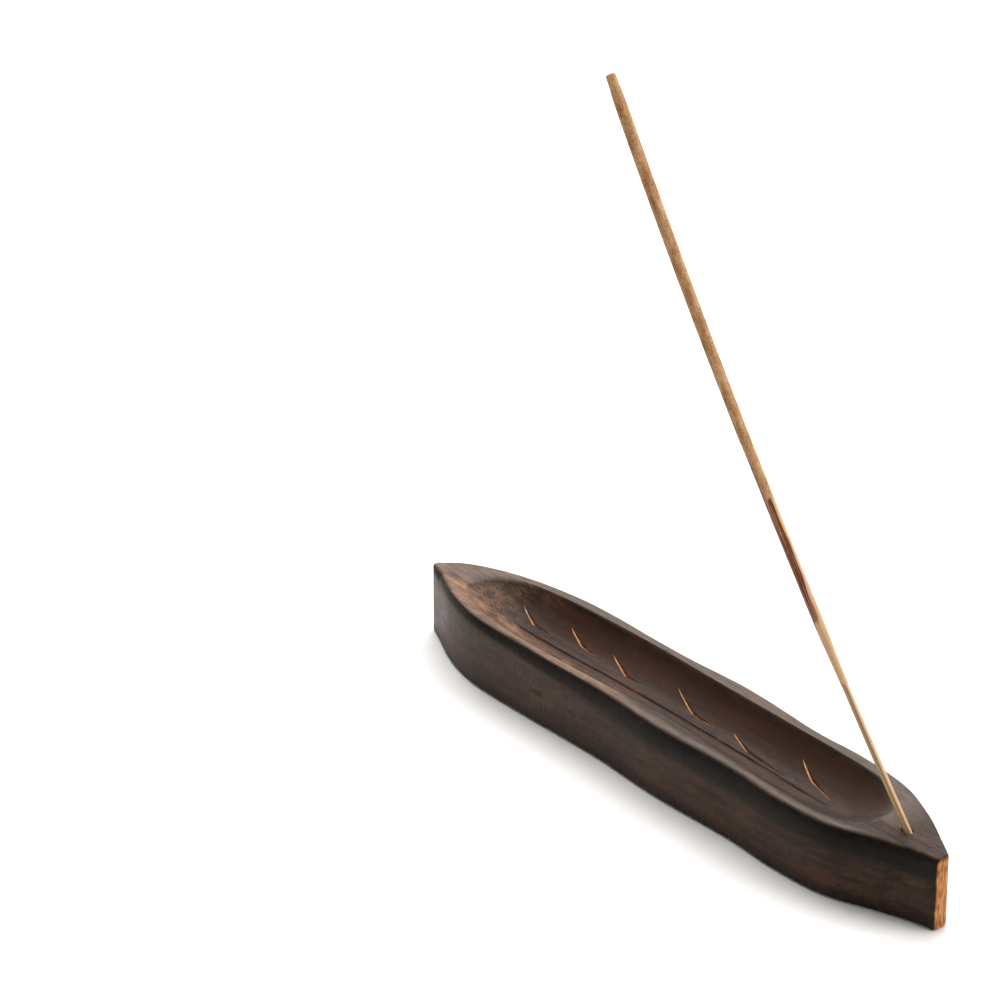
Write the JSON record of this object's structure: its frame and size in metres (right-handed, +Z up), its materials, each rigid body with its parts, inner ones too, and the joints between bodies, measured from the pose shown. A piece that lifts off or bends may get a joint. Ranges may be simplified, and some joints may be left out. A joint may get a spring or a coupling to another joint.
{
  "type": "incense burner",
  "caption": "Carved wooden leaf-shaped incense burner with a scooped ash dish and a slanted hole that holds a lift-out bamboo incense stick.",
  "frame": {"origin": "middle of the flat base, where the burner rests", "axes": "+X along the leaf towards the end with the stick, +Y towards the flank with the fuller curve, +Z up"},
  "size_m": [0.254, 0.0425, 0.2353],
  "materials": {
    "stained_wood": "dark stained and oiled, satin, worn lighter along the rim",
    "bamboo": "bare split bamboo, dry satin",
    "incense": "dried masala incense paste, matte and mottled"
  },
  "bodies": {
    "root": {"burner_body": "stained_wood"},
    "stick": {"bamboo_core": "bamboo", "incense_paste": "incense"}
  },
  "joints": [
    {"name": "stick_pull", "type": "slide", "parent": "root", "child": "stick", "axis": [-0.6388, 0, 0.7694], "range_m": [0, 0.016]}
  ]
}
